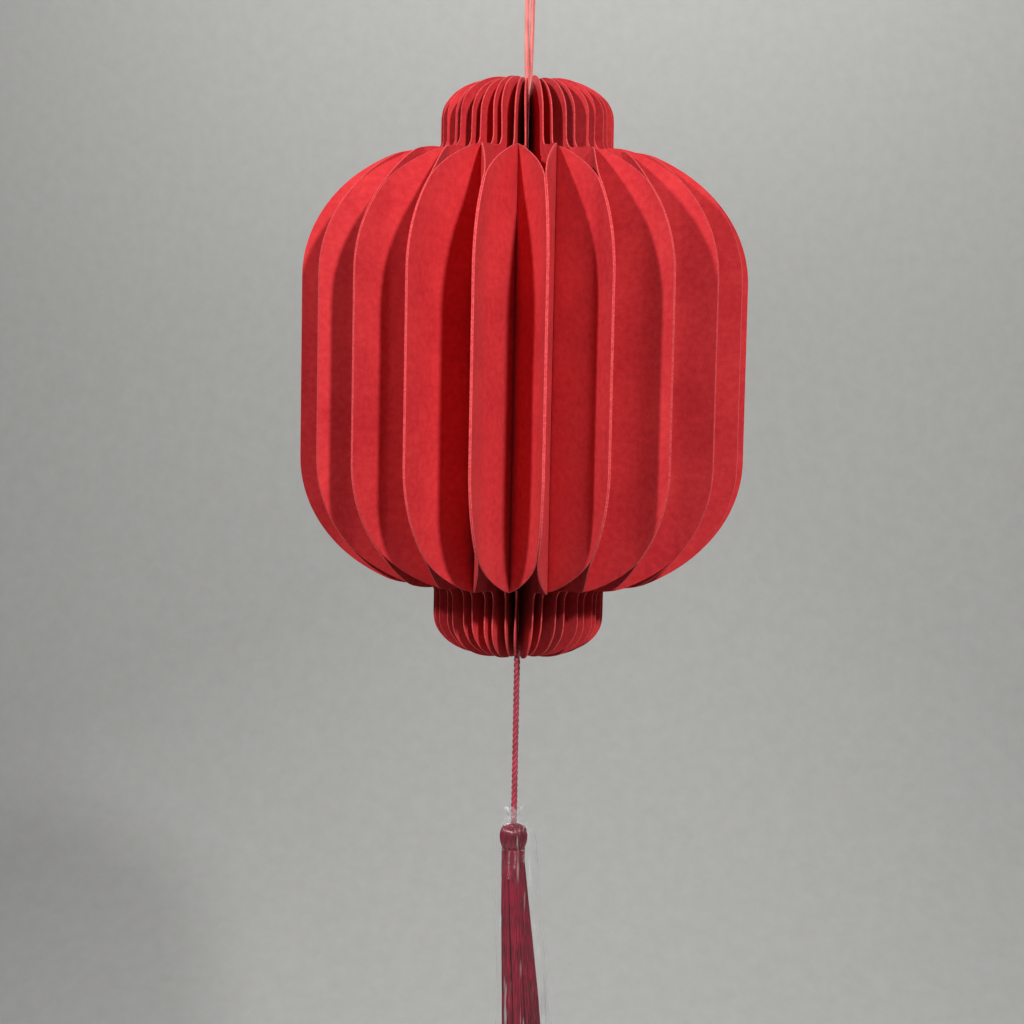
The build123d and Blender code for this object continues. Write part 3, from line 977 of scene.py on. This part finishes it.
def film_material():
    material, tree, shader = principled("clear_film", (0.80, 0.83, 0.83), 0.14)
    shader.inputs["IOR"].default_value = 1.5
    shader.inputs["Specular IOR Level"].default_value = 0.9
    place = node(tree, "ShaderNodeTexCoord").outputs["Object"]
    stretched = node(tree, "ShaderNodeMapping", Scale=(1.0, 1.0, 0.09))
    tree.links.new(place, stretched.inputs["Vector"])
    creases = noise(tree, stretched.outputs["Vector"], 430, detail=2.0, roughness=0.5)
    edge_on = node(tree, "ShaderNodeLayerWeight", Blend=0.3).outputs["Facing"]
    rim = math_node(tree, "MULTIPLY", math_node(tree, "POWER", edge_on, 3.0), 0.30)
    # painted highlights: the whitish film is made more opaque along the long crease streaks
    painted_glints = remap(tree, creases, 0.60, 0.74, 0.26)
    height = node(tree, "ShaderNodeSeparateXYZ")
    tree.links.new(place, height.inputs["Vector"])
    # a milky band near the mouth: partly the gathered film's layers, partly a painted highlight on its
    # crumpled top
    gathered_layers_and_highlight = remap(tree, height.outputs["Z"], film_high.z - GATHER_AND_HIGHLIGHT_HEIGHT, film_high.z, 0.14)
    folds = math_node(tree, "ADD", math_node(tree, "ADD", gathered_layers_and_highlight, painted_glints), rim)
    tree.links.new(math_node(tree, "ADD", folds, CLEAR_ALPHA), shader.inputs["Alpha"])
    bump(tree, shader, creases, 0.0006, 0.6)
    return material


clear_film = film_material()
print("film from", round(film_high.z, 4), "down to", round(film_low.z, 4))

# %% [markdown]
# ## The shape of the sleeve
# The bag's mouth is gathered round the cord, so its top is all folds with an uneven lip, and the
# folds run out into long soft creases lower down. Rings of points are bridged into a tube, and
# each point is moved in or out by a few crossed waves, strong at the gather and faint at the foot.

# %% Sleeve
rng = random.Random(23)
# below the mouth in millimetres, drift, half width, half depth, depth of the folds
SLEEVE = [
    (-2.0, 0.0, 3.3, 3.0, 0.9), (0.5, 0.0, 2.0, 1.9, 0.35), (2.5, 0.2, 3.2, 3.0, 0.9),
    (4.5, 0.6, 5.6, 5.0, 1.0), (7.0, 1.0, 7.2, 6.0, 0.8), (12.0, 1.2, 7.7, 6.3, 0.55),
    (24.0, 1.7, 8.1, 6.6, 0.5), (78.0, 5.1, 10.4, 8.4, 0.5), (147.5, 7.6, 11.4, 9.4, 0.55),
]
FOLDS = [(3, 0.7), (5, 1.0), (8, 0.8), (13, 0.55), (17, 0.35)]      # count round the tube, weight
FOLD_DEPTH = 2.2            # the waves are divided by this
RING_POINTS = 72
FILM_THICKNESS = 0.05 * MM
fold_phase = [(rng.uniform(0, math.tau), rng.uniform(-0.05, 0.05)) for _ in FOLDS]


def sleeve_at(depth):
    """Drift, half width, half depth and fold depth of the sleeve at a depth below its mouth."""
    for low, high in zip(SLEEVE, SLEEVE[1:]):
        if depth <= high[0]:
            blend = smoothstep((depth - low[0]) / (high[0] - low[0]))
            return [between(a, b, blend) for a, b in zip(low[1:], high[1:])]
    return list(SLEEVE[-1][1:])


def film_ring(bm, depth):
    """One creased ring of the sleeve, at a depth in millimetres below its mouth."""
    drift, half_width, half_depth, folds = sleeve_at(depth)
    ring = bmesh.ops.create_circle(bm, segments=RING_POINTS, radius=1)["verts"]
    for v in ring:
        turn = math.atan2(v.co.y, v.co.x)
        crease = 0.0
        for (count, weight), (phase, slant) in zip(FOLDS, fold_phase):
            crease += weight * math.sin(count * turn + phase + slant * depth * count * 0.35)
        crease = folds * crease / FOLD_DEPTH
        x = drift + (half_width + crease) * math.cos(turn)
        y = (half_depth + crease * 0.8) * math.sin(turn)
        lip = 0.8 * math.sin(3 * turn + 1.0) + 0.6 * math.sin(7 * turn) if depth < 0 else 0
        v.co = Vector((x * MM, y * MM, film_high.z - (depth - lip) * MM))
    return ring


def edges_round(ring):
    """The edges that run round a ring, each once."""
    return list(dict.fromkeys(e for v in ring for e in v.link_edges if e.other_vert(v) in ring))


# close rings through the gather, then rings that grow further apart down to the foot
sleeve_end = SLEEVE[-1][0]
depths = [-2 + 0.5 * k for k in range(20)] + [8 + 1.6 * k * (1 + 0.02 * k) for k in range(40)]
depths = [depth for depth in depths if depth < sleeve_end] + [sleeve_end]
bm = bmesh.new()
rings = [film_ring(bm, depth) for depth in depths]
for upper, lower in zip(rings, rings[1:]):
    bmesh.ops.bridge_loops(bm, edges=edges_round(upper) + edges_round(lower))
sleeve = new_object("tassel_sleeve_film", mesh_from(bm, "tassel_sleeve_film"), clear_film)
film_wall = sleeve.modifiers.new("film", "SOLIDIFY")
film_wall.thickness = FILM_THICKNESS
film_wall.offset = 0
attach(sleeve, "tassel")
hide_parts("tassel_sleeve")
print("sleeve", len(rings), "rings,", len(sleeve.data.polygons), "faces")

# %% [markdown]
# ## The pads
# The fan is closed into a ring by two sticky pads between the first and last leaf. They are thin
# plates that lie in the seam's plane. They ride on one of the two leaves and flatten with it.

# %% Pads
def pad_material():
    material, tree, shader = principled("sticky_pad", (0.82, 0.80, 0.73), 0.35)
    place = node(tree, "ShaderNodeTexCoord").outputs["Object"]
    cloudy = noise(tree, place, 260, detail=3.0)
    tree.links.new(ramp(tree, cloudy, (0.70, 0.67, 0.58), (0.88, 0.86, 0.80)), shader.inputs["Base Color"])
    bump(tree, shader, cloudy, 0.0001, 0.5)
    return material


PAD_WIDTH = 8.0 * MM
PAD_INSET = 4.7 * MM        # from the lantern's edge to the pad's middle
PAD_THICKNESS = 0.3 * MM
pad_finish = pad_material()
seam_azimuth = (seam_leaf - 1.5) * LEAF_ANGLE
seam_turn = Matrix.Rotation(seam_azimuth + LEAF_ANGLE / 2 + edge_stray[seam_leaf // 2], 3, "Z")
for name in ("closing_pad_upper", "closing_pad_lower"):
    low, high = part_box(name)
    bm = bmesh.new()
    bmesh.ops.create_grid(bm, x_segments=4, y_segments=8, size=0.5)
    corners = [v for v in bm.verts if len(v.link_edges) == 2]
    bmesh.ops.bevel(bm, geom=corners, offset=0.1, segments=4, profile=0.5, affect="VERTICES", material=-1)
    for v in bm.verts:
        radius = BODY_RADIUS - PAD_INSET + v.co.x * PAD_WIDTH
        height = (low.z + high.z) / 2 + v.co.y * (high.z - low.z)
        v.co = seam_turn @ Vector((radius, 0, height))
    pad = new_object(name + "_plate", mesh_from(bm, name + "_plate"), pad_finish)
    wall = pad.modifiers.new("thickness", "SOLIDIFY")
    wall.thickness = PAD_THICKNESS
    wall.offset = 0
    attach(pad, f"leaf_{seam_leaf:02d}")
    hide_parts(name)
    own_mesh(pad)
print("pads on leaf", seam_leaf)

# %% [markdown]
# ## The cord in the spine
# Inside the spine the doubled cord is hidden. It keeps its plain CAD shape and takes the cord's
# finish, because it stands bare beside the stack when the fan is folded.

# %% Spine cord
spine_cord = bpy.data.objects["spine_cord"]
spine_cord.data.materials.clear()
spine_cord.data.materials.append(coral_cord)
print("spine cord keeps its shape and takes", coral_cord.name)

# %% [markdown]
# ## The backdrop
# A pale floor sweeps up into a pale wall, so from the front there is no horizon behind the
# lantern. Its side view is three points with the middle one rounded, swept from left to right.

# %% Backdrop
STAGE_SIDE = 12             # all in metres: from the middle to each side, and to the front
STAGE_BACK = 1.8
STAGE_FLOOR = -1.0
STAGE_TOP = 6.0
SWEEP_RADIUS = 0.9


def backdrop():
    """A floor that curves up into a wall."""
    bm = bmesh.new()
    front_edge = bm.verts.new((-STAGE_SIDE, -STAGE_SIDE, STAGE_FLOOR))
    corner = bm.verts.new((-STAGE_SIDE, STAGE_BACK, STAGE_FLOOR))
    top_edge = bm.verts.new((-STAGE_SIDE, STAGE_BACK, STAGE_TOP))
    for pair in ((front_edge, corner), (corner, top_edge)):
        bm.edges.new(pair)
    bmesh.ops.bevel(
        bm, geom=[corner], offset=SWEEP_RADIUS, segments=24, profile=0.5, affect="VERTICES", material=-1
    )
    swept = bmesh.ops.extrude_edge_only(bm, edges=bm.edges[:])["geom"]
    far_side = [v for v in swept if isinstance(v, bmesh.types.BMVert)]
    bmesh.ops.translate(bm, vec=(2 * STAGE_SIDE, 0, 0), verts=far_side)
    material, tree, shader = principled("backdrop", (0.60, 0.598, 0.58), 0.95)
    place = node(tree, "ShaderNodeTexCoord").outputs["Object"]
    grain = noise(tree, place, 60, detail=4.0)
    tree.links.new(ramp(tree, grain, (0.58, 0.578, 0.56), (0.62, 0.618, 0.60)), shader.inputs["Base Color"])
    new_object("backdrop", mesh_from(bm, "backdrop"), material)


backdrop()
print("backdrop", 2 * STAGE_SIDE, "m wide, floor at", STAGE_FLOOR)

# %% [markdown]
# ## Light
# Two small lamps stand in front of the lantern. The stronger one is a little to the right of the
# viewer and above, and throws the crisp shadows of the leaves' edges. The weaker one on the left
# opens those shadows up. Two broad ones light its back, one more lights the wall, and a faint
# pale sky fills the rest.

# %% Lamps and sky
SKY_STRENGTH = 0.08


def area_light(name, shape, size, power, place, away):
    """An area light at a place. Away is the direction from what it lights back to the lamp."""
    data = bpy.data.lights.new(name, "AREA")
    data.shape = shape
    data.size = size
    data.energy = power
    light = bpy.data.objects.new(name, data)
    bpy.context.scene.collection.objects.link(light)
    light.location = place
    light.rotation_euler = away.to_track_quat("Z", "Y").to_euler()


def lamp(name, azimuth, elevation, distance, size, power):
    """A round lamp that points at the lantern. Azimuth 0 is in front, and it counts to the right."""
    turn, tilt = math.radians(azimuth), math.radians(elevation)
    away = Vector((math.sin(turn) * math.cos(tilt), -math.cos(turn) * math.cos(tilt), math.sin(tilt)))
    area_light(name, "DISK", size, power, away * distance + UP * MIDDLE, away)


lamp("key", 25, 26, 1.2, 0.09, 11.6)
lamp("fill", -40, 26, 1.0, 0.08, 6.4)
lamp("back_left", -150, 30, 1.3, 0.5, 9)
lamp("back_right", 140, 25, 1.3, 0.5, 5)
area_light("wall_lamp", "SQUARE", 1.2, 10, (0, 0.9, 0.95), Vector((0, -1.0, 0.12)))
world = bpy.data.worlds.new("studio")
bpy.context.scene.world = world
world.use_nodes = True
sky = world.node_tree.nodes["Background"]
sky.inputs["Color"].default_value = (1.0, 0.99, 0.97, 1)
sky.inputs["Strength"].default_value = SKY_STRENGTH
print("lamps", [light.name for light in bpy.data.lights])
bpy.context.scene.view_settings.view_transform = "Standard"
